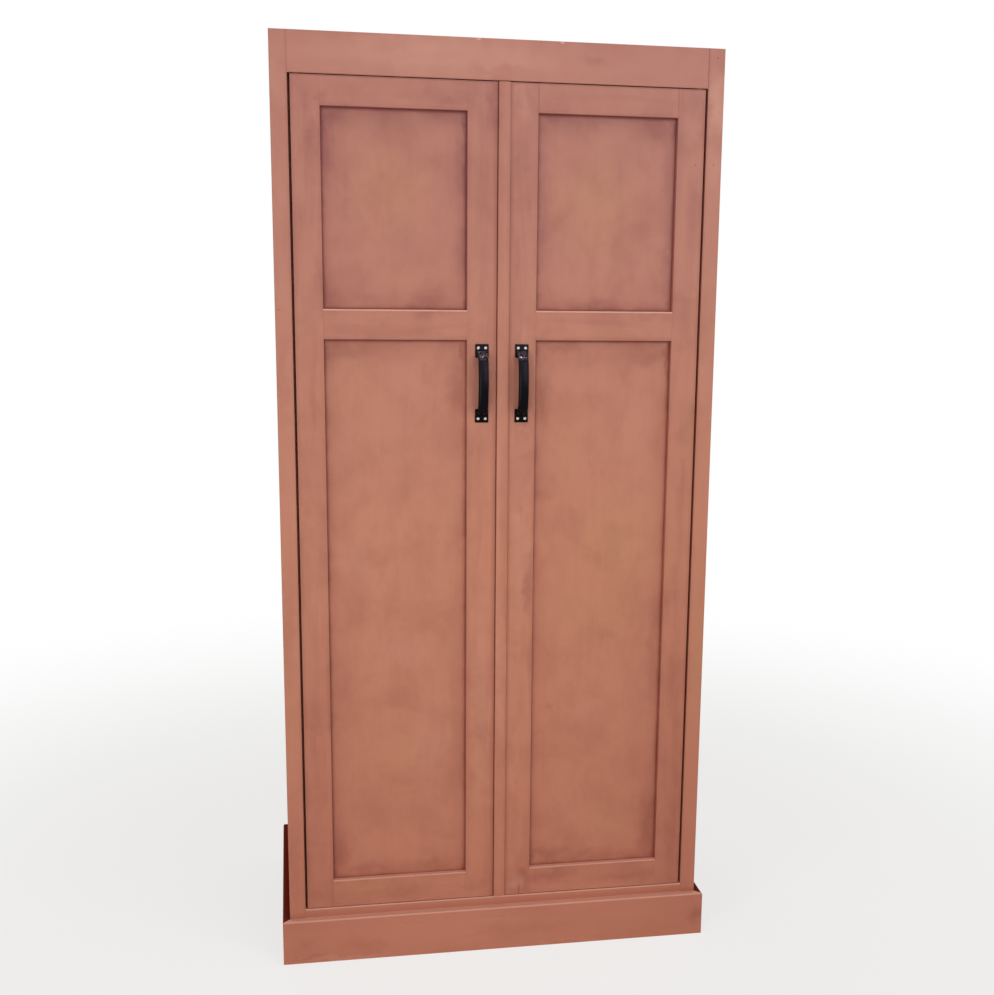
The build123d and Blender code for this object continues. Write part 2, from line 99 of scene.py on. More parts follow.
BOARD_MARKS = {"Smudges": (
    (-110, 1856, 34, 12, 20), (-372, 1858, 28, 14, 18), (-386, 1780, 16, 60, 18),
    (-156, 1434, 36, 16, 24), (-378, 1510, 12, 60, 12), (414, 1640, 22, 110, 14),
    (424, 1850, 18, 80, 18), (-40, 1292, 40, 100, 16), (50, 1284, 40, 100, 16),
    (62, 850, 16, 66, 22), (408, 1080, 20, 74, 16), (408, 250, 24, 160, 16),
    (120, 164, 100, 24, 26), (62, 178, 20, 14, 22), (300, 150, 90, 20, 20),
    (-215, 150, 90, 22, 18), (-60, 150, 40, 16, 16), (300, 1436, 90, 12, 12),
    (-300, 1400, 60, 14, 8), (70, 44, 140, 26, 15), (-415, 14, 46, 9, 16), (-300, 36, 80, 18, 14),
    (468, 50, 26, 34, 36), (-430, 50, 40, 20, 12), (-230, 1955, 60, 16, 10),
    (40, 1750, 24, 80, 14), (192, 1948, 34, 16, 18), (0, 1920, 90, 10, 10),
    (-416, 1000, 14, 200, 10), (-400, 560, 14, 120, 10), (-20, 1840, 16, 80, 22),
    (400, 640, 16, 150, 12), (34, 1560, 16, 70, 8), (-455, 1300, 22, 160, 14),
    (-455, 760, 22, 220, 12), (-455, 250, 22, 170, 13), (-402, 1858, 24, 56, 14),
    (399, 1866, 24, 40, 12)
), "Ochre": (
    (452, 700, 20, 240, 40), (416, 1190, 18, 110, 35), (-40, 460, 26, 200, 25),
    (-456, 560, 18, 200, 30), (-300, 160, 110, 26, 35), (-385, 1560, 20, 120, 15),
    (240, 1400, 120, 24, 15)
), "Pale": (
    (47, 1194, 18, 14, 34), (-340, 7, 150, 10, 26), (160, 6, 220, 6, 14), (-396, 830, 16, 90, 10),
    (0, 76, 60, 10, 14), (-200, 72, 60, 9, 10), (38, 460, 10, 120, 10), (-454, 1500, 12, 200, 6),
    (-160, 1942, 420, 60, 34), (0, 45, 560, 70, 6), (452, 1870, 34, 90, 46),
    (452, 1730, 34, 120, 22), (-400, 1935, 110, 50, 16), (-42, 600, 26, 280, 18),
    (2, 620, 14, 320, 14), (44, 1862, 28, 56, 30), (44, 1000, 26, 420, 16), (46, 150, 24, 30, 34),
    (44, 1402, 28, 50, 14), (455, 1330, 26, 260, 13), (-455, 1890, 26, 70, 22),
    (-455, 1640, 26, 110, 14), (-42, 1872, 28, 44, 16))}

# Spots in the paint: filled nail holes, 3 mm across, and chips at the top arris. Each kind has
# its colour, its radius and its centres, in millimetres.
SPOTS = (("deep_glaze_and_shade", 1.7, ((451, -252.5, 1962), (450, -252.5, 1747), (410, -252.5, 1746),
                              (-456, -268.5, 16), (-459, -252.5, 1439))),
         ("wear_and_highlight", 6.0, ((-51, -252.5, 1981), (121, -252.5, 1981))))


def linear(hex_colour):
    """An sRGB hex colour as linear red, green and blue, by the sRGB curve, and opaque."""
    srgb = np.array([int(hex_colour[i:i + 2], 16) / 255 for i in (1, 3, 5)])
    curved = ((srgb + 0.055) / 1.055) ** 2.4
    return (*np.where(srgb <= 0.04045, srgb / 12.92, curved).tolist(), 1.0)


def colour(title, hex_colour, description):
    """A colour property whose default is an sRGB hex colour."""
    return FloatVectorProperty(name=title, description=description, subtype="COLOR", size=4,
                               min=0.0, max=1.0, default=linear(hex_colour))


def length(title, millimetres, description):
    """A length property whose default is given in millimetres."""
    return FloatProperty(name=title, description=description, subtype="DISTANCE", unit="LENGTH",
                         min=0.0, precision=4, default=millimetres / 1000)


class CupboardSizes(bpy.types.PropertyGroup):
    """Sizes of the pieces that are made here. Places come from the frame."""

    grip_width: length("Grip Width", 21.5, "Width of a pull's grip, side to side")
    grip_crown: length("Grip Crown", 4.0, "Middle line of the grip to its rounded front")
    grip_back: length("Grip Back", 3.5, "Middle line of the grip to its flat back")
    grip_apex: length("Grip Apex", 31.0, "Face of the door to the middle line, at mid height")
    shoulder_out: length("Shoulder Reach", 26.2, "The same, where the crest meets the end bends")
    shoulder_height: length("Shoulder Height", 44.0, "Mid height of a pull to its shoulder")
    foot_height: length("Foot Height", 62.0, "Mid height of a pull to the middle of its foot")
    foot_pad_margin: length("Foot Pad Margin", 1.4, "How far a foot pad stands out round the grip")
    foot_pad_thick: length("Foot Pad Thickness", 3.2, "Face of a plate to the top of a foot pad")
    plate_length: length("Plate Length", 28.5, "Height of a pull's screw plate")
    plate_thick: length("Plate Thickness", 3.0, "Thickness of a pull's screw plate")
    plate_corner: length("Plate Corner", 1.8, "Radius of a screw plate's corners")
    screw_head: length("Screw Head", 6.8, "Diameter of a pull's screw heads")
    screw_height: length("Screw Head Height", 2.0, "Height of a pull's screw heads")
    screw_shank: length("Screw Shank", 3.6, "Diameter of a pull's screws")
    strip_shoulder: length("Astragal Side", 4.2, "Straight part of the astragal's sides")
    strip_ease: length("Astragal Ease", 1.6, "Rounding between the astragal's sides and face")
    strip_reach: length("Dust Strip Reach", 3.9, "How far a dust strip stands into the hinge gap")
    strip_deep: length("Dust Strip Depth", 7.0, "A dust strip's depth, front to back")
    small_screw: length("Small Screw Head", 5.0, "Diameter of the strike screw heads")


class CupboardColours(bpy.types.PropertyGroup):
    """Colours of the paint, the glaze over it, the metals and the bare wood."""

    paint: colour("Paint", "#C98368", "Terracotta paint at mid height")
    # Paint at the foot and at the head is darker than at mid height: painted shade. The head's is
    # also pinker, a painted sheen.
    paint_and_shade_low: colour("Paint at the Foot", "#BD765D", "Terracotta paint near the floor")
    paint_and_shade_high: colour("Paint at the Head", "#B97B6C", "Terracotta paint near the top")
    paint_warm: colour("Ochre Paint", "#C58C66", "Where the ochre ground shows through the coat")
    glaze: colour("Glaze at the Head", "#742E3E", "Thin purplish wash, wiped over the paint")
    glaze_low: colour("Glaze at the Foot", "#75281F", "The same wash, redder near the floor")
    # Packed glaze: nail holes and joints, and painted shade in corners, gaps and on the base returns'
    # ledges.
    deep_glaze_and_shade: colour("Packed Glaze", "#6A1C12", "Glaze and dirt in corners and nail holes")
    # Worn edge: wear, and also painted highlight on the arrises and on faces that look up.
    wear_and_highlight: colour("Worn Edge", "#E0A692", "Edges that were wiped clean of glaze")
    iron: colour("Iron", "#09060A", "Black enamel of the pulls")
    # Faded iron: a painted sheen on the upper part of the grips.
    iron_sheen: colour("Faded Iron", "#3A3040", "The same enamel where it has faded")
    # Rubbed iron: partly a painted glint on the top bends of the pulls.
    rubbed_glint: colour("Rubbed Iron", "#8E8790", "Where hands have rubbed through the enamel")
    zinc: colour("Zinc", "#CFCBC2", "Plated steel")
    bronze: colour("Bronze", "#5E4630", "Oil-darkened bearing bronze")
    pine: colour("Pine", "#D2A772", "Planed pine, early wood")
    pine_late: colour("Pine Late Wood", "#B27F4A", "The darker rings of the pine")
    plywood: colour("Plywood", "#CDAF86", "Face veneer of the back")
    catch: colour("Catch", "#4A2E1F", "Moulded catch case")
    catch_light: colour("Catch Grain", "#6B4A37", "Lighter grain of the moulded case")
    floor: colour("Floor", "#EDEBE8", "Studio floor")


# ---- Meshes ---------------------------------------------------------------------------------
def new_object(name, data):
    """An object in the scene with this data."""
    made = bpy.data.objects.new(name, data)
    bpy.context.scene.collection.objects.link(made)
    return made


def make_piece(name, surfaces, material, body, slot, crease, *replaced):
    """One object from closed surfaces. A surface is an array of points, rows by columns, that
    closes round its columns and ends in a pole, all points equal, at its first and last row.
    Edges sharper than the crease, in degrees, stay sharp."""
    corners, quads, start = [], [], 0
    for points in surfaces:
        rows, columns = points.shape[:2]
        index = np.arange(rows * columns).reshape(rows, columns) + start
        low, high = index[:-1], index[1:]
        quads.append(np.stack([low, np.roll(low, -1, 1), np.roll(high, -1, 1), high],
                              axis=-1).reshape(-1, 4))
        corners.append(points.reshape(-1, 3))
        start += rows * columns
    mesh = bpy.data.meshes.new(name)
    mesh.from_pydata(np.concatenate(corners).tolist(), [], np.concatenate(quads).tolist())
    shape = bmesh.new()
    shape.from_mesh(mesh)
    bmesh.ops.remove_doubles(shape, verts=shape.verts, dist=1e-7)
    bmesh.ops.recalc_face_normals(shape, faces=shape.faces)
    shape.to_mesh(mesh)
    shape.free()
    mesh.shade_smooth()
    mesh.set_sharp_from_angle(angle=radians(crease))
    mesh.materials.append(material)
    made = new_object(name, mesh)
    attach(made, body)
    if replaced:
        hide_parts(*replaced)


def with_poles(surface):
    """The surface with a pole, the mean of its end row, added at each end."""
    ends = surface[[0, -1]].mean(axis=1, keepdims=True).repeat(surface.shape[1], axis=1)
    return np.concatenate([ends[:1], surface, ends[1:]])


def rounded_tablet(centre, width, height, corner, profile):
    """A plate with rounded corners that faces the front. Each row of the surface is a rounded
    rectangle, drawn in by the profile's inset and set out by its rise; each corner is a quarter
    circle about a point that lies the corner radius in from both sides."""
    inset, rise = np.asarray(profile, float).T[:, :, None]
    turn = np.linspace(0, np.pi / 2, 9)
    quarter = np.arange(4).repeat(turn.size)
    angle = np.tile(turn, 4) + quarter * np.pi / 2
    side_x = np.array([1, -1, -1, 1])[quarter]
    side_z = np.array([1, 1, -1, -1])[quarter]
    radius = np.maximum(corner - inset, 0.25 * corner)
    radius = np.minimum(radius, np.minimum(width, height) / 2 - inset)
    x = side_x * (width / 2 - inset - radius) + radius * np.cos(angle)
    z = side_z * (height / 2 - inset - radius) + radius * np.sin(angle)
    return with_poles(np.stack([centre[0] + x, centre[1] - rise + 0 * x, centre[2] + z], -1))


def rounded_rim(thick, radius, count=6):
    """Profile of a plate's edge: straight up, then a quarter circle over onto its face."""
    turn = np.linspace(0, np.pi / 2, count)
    over = np.stack([radius * (1 - np.cos(turn)), thick - radius + radius * np.sin(turn)], -1)
    return np.concatenate([[[0.0, 0.0]], over])


def grip_surface(sizes, centre):
    """An arched bar. Its middle line is a flat crest arc with a tight bend at each end: place =
    arc centre + radius x normal, and the normal turns from straight down to straight up. The
    section is half a superellipse in front, nearly flat behind, and flares where it lands."""
    reach, shoulder, height = sizes.grip_apex, sizes.shoulder_out, sizes.shoulder_height
    drop = reach - shoulder
    crest = (height ** 2 + drop ** 2) / (2 * drop)
    lean = np.arcsin(height / crest)
    away = np.array([height - sizes.foot_height, shoulder - sizes.plate_thick / 2])
    normal = np.array([np.sin(lean), np.cos(lean)])
    bend = (away @ away) / (2 * away @ normal)
    bend_centre = np.array([height, shoulder]) - bend * normal
    last = np.arctan2(sizes.foot_height - bend_centre[0], sizes.plate_thick / 2 - bend_centre[1])
    half = np.concatenate([np.linspace(0, lean, 12), np.linspace(lean, last, 26)[1:]])
    turn = np.concatenate([-half[:0:-1], half])
    on_crest = np.abs(turn) <= lean + 1e-9
    side = np.sign(turn)
    z = np.where(on_crest, crest * np.sin(turn),
                 side * bend_centre[0] + bend * np.sin(turn))
    out = np.where(on_crest, reach - crest + crest * np.cos(turn),
                   bend_centre[1] + bend * np.cos(turn))
    around = np.linspace(0, 2 * np.pi, 56, endpoint=False)
    cos, sin = np.cos(around), np.sin(around)
    power = np.where(sin >= 0, 2 / 2.5, 2 / 4.5)
    across = sizes.grip_width / 2 * np.sign(cos) * np.abs(cos) ** power
    thick = np.where(sin >= 0, sizes.grip_crown, sizes.grip_back)
    proud = thick * np.sign(sin) * np.abs(sin) ** power
    landing = sizes.plate_thick + sizes.foot_pad_thick
    flare_share, flare_height = 0.16, 0.0045
    flare = 1 + flare_share * np.clip(1 - (out - landing) / flare_height, 0, 1) ** 2
    flare = np.where(out < landing, 1.0, flare)[:, None]
    x = across * flare
    y = -(out[:, None] + proud * flare * np.cos(turn)[:, None])
    up = z[:, None] + proud * flare * np.sin(turn)[:, None]
    return with_poles(np.stack([centre[0] + x, centre[1] + y, centre[2] + up], -1))


def screw_surface(centre, head, height, shank, depth, turned, outward=-1.0):
    """A round-head screw along Y. The head's height falls off as one less the radius to the
    power 2.6; a cross of two slots is pressed into it, with sloping walls, and the shank runs
    straight in behind it to a blunt tip."""
    columns = 72
    around = np.linspace(0, 2 * np.pi, columns, endpoint=False)
    share = np.concatenate([np.linspace(0, 0.62, 20), np.linspace(0.66, 1, 9)])[:, None]
    radius = share * head / 2
    dome = height * (0.16 + 0.84 * (1 - share ** 2.6)) * np.ones_like(around)
    u = radius * np.cos(around + turned)
    v = radius * np.sin(around + turned)
    slot = 0.075 * head
    across = np.minimum(np.abs(u), np.abs(v))
    along = np.maximum(np.abs(u), np.abs(v))
    sunk = np.clip((slot * 1.35 - across) / (slot * 0.7), 0, 1)
    sunk = sunk * np.clip((0.29 * head - along) / (0.06 * head), 0, 1)
    rise = dome - 0.5 * height * sunk
    rows = [(radius, rise)]
    rows += [(np.full((1, 1), r), np.full((1, columns), h)) for r, h in
             ((head / 2, 0.0), (shank / 2, 0.0), (shank / 2, -depth), (0.0, -depth))]
    radius = np.concatenate([r for r, _ in rows])
    rise = np.concatenate([h for _, h in rows])
    return np.stack([centre[0] + radius * np.cos(around),
                     centre[1] + outward * rise,
                     centre[2] + radius * np.sin(around)], -1)


def carried_profile(profile, low, high, ease):
    """A closed profile in plan, carried straight up. Its two ends are drawn in by a small ease,
    so that the arris at each end is broken."""
    inner = profile.mean(axis=0)
    shrink = 1 - ease / np.abs(profile - inner).max(axis=0)
    heights = (low, low, low + ease, high - ease, high, high)
    scales = (0 * shrink, shrink, 1 + 0 * shrink, 1 + 0 * shrink, shrink, 0 * shrink)
    plan = [inner + (profile - inner) * s for s in scales]
    return np.stack([np.column_stack([p, np.full(len(p), h)]) for p, h in zip(plan, heights)])


# ---- Materials ------------------------------------------------------------------------------
# Settings that many nodes share: a range with soft ends, and a mix of two colours.
SOFT = {"interpolation_type": "SMOOTHSTEP"}
TONES = {"data_type": "RGBA"}
WHITE = (1, 1, 1, 1)


def wire(node, inputs):
    """Fill a node's inputs: a socket is linked, and anything else is set as the value."""
    for key, value in inputs.items():
        if isinstance(value, bpy.types.NodeSocket):
            node.id_data.links.new(value, node.inputs[key])
        else:
            node.inputs[key].default_value = value


def add_node(tree, kind, *values, **named):
    """Add a shader node. The values fill its live inputs in order. A name with a capital is an
    input, and one without is a setting. Returns its live output, or all outputs if several are."""
    node = tree.nodes.new("ShaderNode" + kind)
    for name, value in named.items():
        if name.islower():
            setattr(node, name, value)
    live = [key for key, socket in enumerate(node.inputs) if socket.enabled]
    wire(node, dict(zip(live, values)))
    wire(node, {name: value for name, value in named.items() if not name.islower()})
    live = [socket for socket in node.outputs if socket.enabled]
    return live[0] if len(live) == 1 else node.outputs


def new_material(name):
    """An empty material: itself, what puts a node in it, its surface shader and its object
    coordinates."""
    material = bpy.data.materials.new(name)
    material.use_nodes = True
    put = partial(add_node, material.node_tree)
    return material, put, material.node_tree.nodes["Principled BSDF"], put("TexCoord")["Object"]


def drawn_out(along, share):
    """Scale of a pattern that is drawn out along one axis."""
    return [share if axis == along else 1.0 for axis in "XYZ"]


def distance(put, value, place):
    """How far a value lies from a place, to either side."""
    off = put("Math", value, place, operation="SUBTRACT")
    return put("Math", off, operation="ABSOLUTE")


def seen_or_mirrored(put):
    """One for what is seen, mirrored or looked at through glass, and nought for other light."""
    ray = put("LightPath")
    seen = put("Math", ray["Is Camera Ray"], ray["Is Glossy Ray"], operation="MAXIMUM")
    return put("Math", seen, ray["Is Transmission Ray"], operation="MAXIMUM")


def cloth_and_shade_marks(name, marks):
    """A shader group: what the wiping cloth left, and painted shade. Clouds of glaze a hand wide and
    smaller rubs are noise; the marks are soft ellipses with a torn edge, one output for each kind.
    The smudges, glaze where the cloth turned in the corners and where hands reach for the pulls,
    also paint the shade that the recesses and the pulls throw there. They lie on the front and
    fade out round the corner, 90 mm back."""
    front, reach_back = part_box("frame_top_rail")[0].y, 0.090
    tree = bpy.data.node_groups.new(name, "ShaderNodeTree")
    put = partial(add_node, tree)
    tree.interface.new_socket("Vector", in_out="INPUT", socket_type="NodeSocketVector")
    where = tree.nodes.new("NodeGroupInput").outputs["Vector"]
    patch = put("TexNoise", where, Scale=1 / 0.11, Detail=3.0, Roughness=0.58, Distortion=0.4)[0]
    patch = put("MapRange", patch, 0.42, 0.68, **SOFT)
    moved = put("Mapping", where, (7.3, 0.4, 5.2), (0, 0.6, 0), (1.0, 1.0, 0.6))
    rub = put("TexNoise", moved, Scale=1 / 0.034, Detail=3.0, Roughness=0.6)[0]
    rub = put("MapRange", rub, 0.45, 0.72, 0.0, 0.6, **SOFT)
    left = {"Clouds": put("Math", patch, rub, operation="ADD")}

    torn = put("TexNoise", where, Scale=1 / 0.03, Detail=3.0)["Color"]
    torn = put("VectorMath", torn, (0.5, 0.5, 0.5), operation="SUBTRACT")
    torn = put("VectorMath", torn, 0.045, operation="SCALE")
    torn = put("VectorMath", where, torn, operation="ADD")
    for kind, ellipses in marks.items():
        left[kind] = 0.0
        for x, z, wide, high, percent in ellipses:
            off = put("VectorMath", torn, (x / 1000, front, z / 1000), operation="SUBTRACT")
            off = put("VectorMath", off, (1000 / wide, 1 / reach_back, 1000 / high),
                      operation="MULTIPLY")
            off = put("VectorMath", off, operation="LENGTH")
            mark = put("MapRange", off, 1.1, 0.1, 0.0, percent / 100, **SOFT)
            left[kind] = put("Math", mark, left[kind], operation="MAXIMUM")
    for kind in left:
        tree.interface.new_socket(kind, in_out="OUTPUT", socket_type="NodeSocketFloat")
    wire(tree.nodes.new("NodeGroupOutput"), left)


def glazed_paint(boards, looks, along, cloth="Board Cloth", creases=(), wiped_and_lit=(), joints=(),
                 ledge=0.9, ledge_tone="wear_and_highlight", gloss=0.5, coats=1.0):
    """Hand-brushed terracotta paint under a red-brown antiquing glaze, taken back with a cloth, with
    a satin coat. The eye gets soft cloudy patches a hand wide, very faint brush lines along the
    board, dark glaze in the corners and gaps, deepened there by painted shade, and paler arrises,
    partly where the cloth took the glaze off and partly painted highlight. Creases are (axis, place,
    half width, strength), paler arrises (height, strength) and joints (x, low, high, strength), in
    millimetres. Ledge is how far the ledge tone covers the faces that look up: the pale tone is dust
    with a painted top light, the deep one glaze with a painted shadow. Gloss is the coat's, and
    coats how much glaze lies on all."""
    material, put, shader, where = new_material("Glazed Paint, " + boards)
    x, _, z = put("SeparateXYZ", where)
    wide = put("Math", x, operation="ABSOLUTE")
    left = put("Group", where, node_tree=bpy.data.node_groups[cloth])
    on_panel = cloth == "Panel Cloth"

    # The coat: darker at the foot, and duller and pinker at the head, than at mid height, which is
    # painted shade towards the foot and the head, with a pinker painted sheen at the head; warm where
    # the ochre ground shows. The glaze over it runs from red-brown at the foot to a purplish brown at
    # the head.
    rise = put("MapRange", z, 0.0, 1.0)
    paint = put("Mix", rise, looks.paint_and_shade_low, looks.paint, **TONES)
    rise = put("MapRange", z, 0.95, 1.95)
    paint = put("Mix", rise, paint, looks.paint_and_shade_high, **TONES)
    rise = put("MapRange", z, 1.32, 1.60, **SOFT)
    glaze = put("Mix", rise, looks.glaze_low, looks.glaze, **TONES)
    paint = put("Mix", left["Ochre"], paint, looks.paint_warm, **TONES)
    paint = put("Mix", left["Pale"], paint, looks.wear_and_highlight, **TONES)

    # Brush work: soft glaze strokes 30 mm wide and eight times as long, 3.5 mm streaks and 1.2 mm
    # bristle marks sixteen times as long as wide.
    swept = put("Mapping", where, (0.3, 0.0, 0.7), Scale=drawn_out(along, 0.13))
    stroke = put("TexNoise", swept, Scale=1 / 0.030, Detail=2.0, Roughness=0.4, Distortion=0.6)[0]
    combed = put("Mapping", where, Scale=drawn_out(along, 0.06))
    streak = put("TexNoise", combed, Scale=1 / 0.0035, Detail=2.0)[0]
    bristle = put("TexNoise", combed, Scale=1 / 0.0012, Detail=1.0)[0]
    lines = put("MapRange", streak, 0.3, 0.75, 0.0, 0.024)
    stroke = put("MapRange", stroke, 0.42, 0.70, 0.0, 0.04 if on_panel else 0.11, **SOFT)
    lines = put("Math", stroke, lines, operation="ADD")
    clouds = 0.12 if on_panel else 0.10
    wash = put("Math", left["Clouds"], clouds, lines, operation="MULTIPLY_ADD")
    # The wash is stronger low down and out at the sides, so the paint is darker towards the foot
    # and the outer edges.
    low_down = put("MapRange", z, 1.7, 0.1, 0.0, 0.20)
    far_out = put("MapRange", wide, 0.24, 0.46, **SOFT)
    wash = put("Math", low_down, far_out, wash, operation="MULTIPLY_ADD")
    wash = put("Math", wash, coats, operation="MULTIPLY")
    paint = put("Mix", wash, paint, glaze, **TONES)
    # Smudges of glaze, which in the panel corners and beside the pulls are also painted shade.
    paint = put("Mix", left["Smudges"], paint, glaze, **TONES)

    # Distance to the nearest panel opening, negative inside it: the larger of the distances past
    # its sides and past its ends, and the smaller of that for the upper and the lower opening.
    gaps, lap = [], PANEL_LAP / 1000
    for panel in ("right_door_upper_panel", "right_door_lower_panel"):
        low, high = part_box(panel)
        past = []
        for value, first, last in ((wide, low.x + lap, high.x - lap),
                                   (z, low.z + lap, high.z - lap)):
            off = distance(put, value, (first + last) / 2)
            past.append(put("Math", off, (last - first) / 2, operation="SUBTRACT"))
        gaps.append(put("Math", *past, operation="MAXIMUM"))
    gap = put("Math", *gaps, operation="MINIMUM")
    ragged = put("TexNoise", where, Scale=1 / 0.055, Detail=3.0)[0]
    ragged = put("MapRange", ragged, 0.36, 0.66, 0.65, 1.20, **SOFT)
    if on_panel:
        # Glaze thins out inwards as reach / (distance + 3 mm), with more reach higher up. It is
        # partly painted shade in the recess, darkest along its rim.
        reach = put("MapRange", z, 1.30, 1.46, 0.0028, 0.0041)
        deep = put("Math", 0.003, gap, operation="SUBTRACT")
        deep = put("Math", deep, 0.003, operation="MAXIMUM")
        pool_and_shade = put("Math", reach, deep, operation="DIVIDE")
        pool_and_shade = put("Math", pool_and_shade, 0.035, operation="SUBTRACT")
        pool_and_shade = put("Math", pool_and_shade, ragged, operation="MULTIPLY")
        pool_and_shade = put("MapRange", pool_and_shade, 0.0, 0.6, 0.0, 0.6)
    else:
        # On the boards: glaze in a band 10 mm out from the panel openings, full at their rims and on
        # the recess walls, where it partly paints their shade.
        pool_and_shade = put("MapRange", gap, 0.010, 0.0, 0.0, 0.12, **SOFT)
        pool_and_shade = put("Math", pool_and_shade, ragged, operation="MULTIPLY")
    paint = put("Mix", pool_and_shade, paint, glaze, **TONES)

    # Glaze and dirt packed into the corners and joints, with painted shade: a line along the panel's
    # rim, partly the shade the rails throw, soft bands at the creases, which paint the shade in the
    # gaps, in the corners and beside the astragal, and a hairline at each joint.
    packed_and_shade = 0.0
    if on_panel:
        dirt_and_shade = put("MapRange", z, 1.30, 1.46, 0.22, 0.38)
        packed_and_shade = put("MapRange", gap, -0.0050, -0.0010, 0.0, dirt_and_shade, **SOFT)
    for axis, place, width, strength in creases:
        off = distance(put, {"x": x, "wide": wide, "z": z}[axis], place / 1000)
        near = put("MapRange", off, width / 1000, 0.0, 0.0, strength, **SOFT)
        packed_and_shade = put("Math", near, packed_and_shade, operation="MAXIMUM")
    for place, low, high, strength in joints:
        middle = (place / 1000, 0, (low + high) / 2000)
        off = put("VectorMath", where, middle, operation="SUBTRACT")
        off = put("VectorMath", off, operation="ABSOLUTE")
        across, _, past = put("SeparateXYZ", off)
        past = put("Math", past, (high - low) / 2000, operation="LESS_THAN")
        near = put("MapRange", across, 0.0022, 0.0004, 0.0, strength)
        near = put("Math", near, past, operation="MULTIPLY")
        packed_and_shade = put("Math", near, packed_and_shade, operation="MAXIMUM")
    if creases or joints:
        paint = put("Mix", packed_and_shade, paint, looks.deep_glaze_and_shade, **TONES)

    # Faces that look up take the ledge tone: on most boards the pale one, dust with a painted top
    # light; on the base returns the deep one, packed glaze with a painted shadow of the case.
    up = put("SeparateXYZ", put("NewGeometry")["True Normal"])["Z"]
    covered = put("MapRange", up, 0.35, 0.9, 0.0, ledge)
    paint = put("Mix", covered, paint, getattr(looks, ledge_tone), **TONES)

    # Paler arrises, partly glaze taken off by the cloth and partly a painted highlight where the
    # arris catches the light from above, broken by the cloth: 2 mm below each height, fading out at
    # 3.8 mm.
    for height, strength in wiped_and_lit:
        off = distance(put, z, height / 1000 - 0.0008)
        bare = put("MapRange", off, 0.0030, 0.0012, 0.0, strength, **SOFT)
        wear_and_highlight = put("MapRange", ragged, 0.45, 0.80, 0.55, 1.0)
        bare = put("Math", bare, wear_and_highlight, operation="MULTIPLY")
        paint = put("Mix", bare, paint, looks.wear_and_highlight, **TONES)

    # Nail holes and chips: spots that are solid out to six tenths of their radius.
    for tone, radius, spots in SPOTS:
        for spot in spots:
            off = put("VectorMath", where, [c / 1000 for c in spot], operation="DISTANCE")
            mark = put("MapRange", off, radius / 1000, radius * 0.6 / 1000, 0.0, 0.8, **SOFT)
            paint = put("Mix", mark, paint, getattr(looks, tone), **TONES)

    height = put("Math", streak, 1.6, bristle, operation="MULTIPLY_ADD")
    relief = put("Bump", Height=height, Strength=0.25, Distance=0.00008)
    satin = put("MapRange", left["Clouds"], 0.0, 1.5, 0.46, 0.56)
    wire(shader, {"Base Color": paint, "Roughness": satin, "Normal": relief, "IOR": 1.46,
                  "Specular IOR Level": gloss})
    return material


def planed_pine(name, looks, along):
    """Bare planed pine. The eye gets straw-coloured wood with darker lines along the board, a
    few millimetres apart at the edges and opening into long arches, and a dull planed face."""
    material, put, shader, where = new_material(name)
    combed = put("Mapping", where, Scale=drawn_out(along, 0.05))
    bow = put("TexNoise", combed, Scale=1 / 0.12, Detail=1.0)[0]
    rings = put("Math", bow, 90.0, operation="MULTIPLY")
    rings = put("Math", rings, operation="SINE")
    rings = put("MapRange", rings, 0.2, 1.0, 0.0, 0.55, **SOFT)
    fibre = put("TexNoise", combed, Scale=1 / 0.0016, Detail=2.0)[0]
    wood = put("Mix", rings, looks.pine, looks.pine_late, **TONES)
    dull = put("MapRange", fibre, 0.3, 0.8, 0.0, 0.22)
    wood = put("Mix", dull, wood, looks.pine_late, **TONES)
    relief = put("Bump", Height=fibre, Strength=0.3, Distance=0.0001)
    rough = put("MapRange", fibre, 0.0, 1.0, 0.52, 0.68)
    wire(shader, {"Base Color": wood, "Roughness": rough, "Normal": relief, "IOR": 1.5})
    return material


def rotary_plywood(looks):
    """Bare rotary-cut plywood. The eye gets a pale sheet with broad, wandering figure that runs
    up it in nested arches, lines a few millimetres apart along them, and short dark pores."""
    material, put, shader, where = new_material("Rotary Plywood")
    combed = put("Mapping", where, Scale=drawn_out("Z", 0.10))
    figure = put("TexNoise", combed, Scale=1 / 0.14, Detail=2.0, Distortion=0.8)[0]
    arches = put("Math", figure, 150.0, operation="MULTIPLY")
    arches = put("Math", arches, operation="SINE")
    arches = put("MapRange", arches, -0.2, 1.0, 0.0, 0.34, **SOFT)
    broad = put("MapRange", figure, 0.35, 0.70, 0.0, 0.22, **SOFT)
    drawn = put("Mapping", where, Scale=drawn_out("Z", 0.03))
    lathe = put("TexNoise", drawn, Scale=1 / 0.0018, Detail=2.0)[0]
    pores = put("MapRange", lathe, 0.50, 0.74, 0.0, 0.34)
    tone = put("Math", arches, broad, operation="ADD")
    tone = put("Math", tone, pores, operation="ADD")
    wood = put("Mix", tone, looks.plywood, looks.pine_late, **TONES)
    relief = put("Bump", Height=lathe, Strength=0.25, Distance=0.0001)
    rough = put("MapRange", lathe, 0.0, 1.0, 0.55, 0.7)
    wire(shader, {"Base Color": wood, "Roughness": rough, "Normal": relief})
    return material


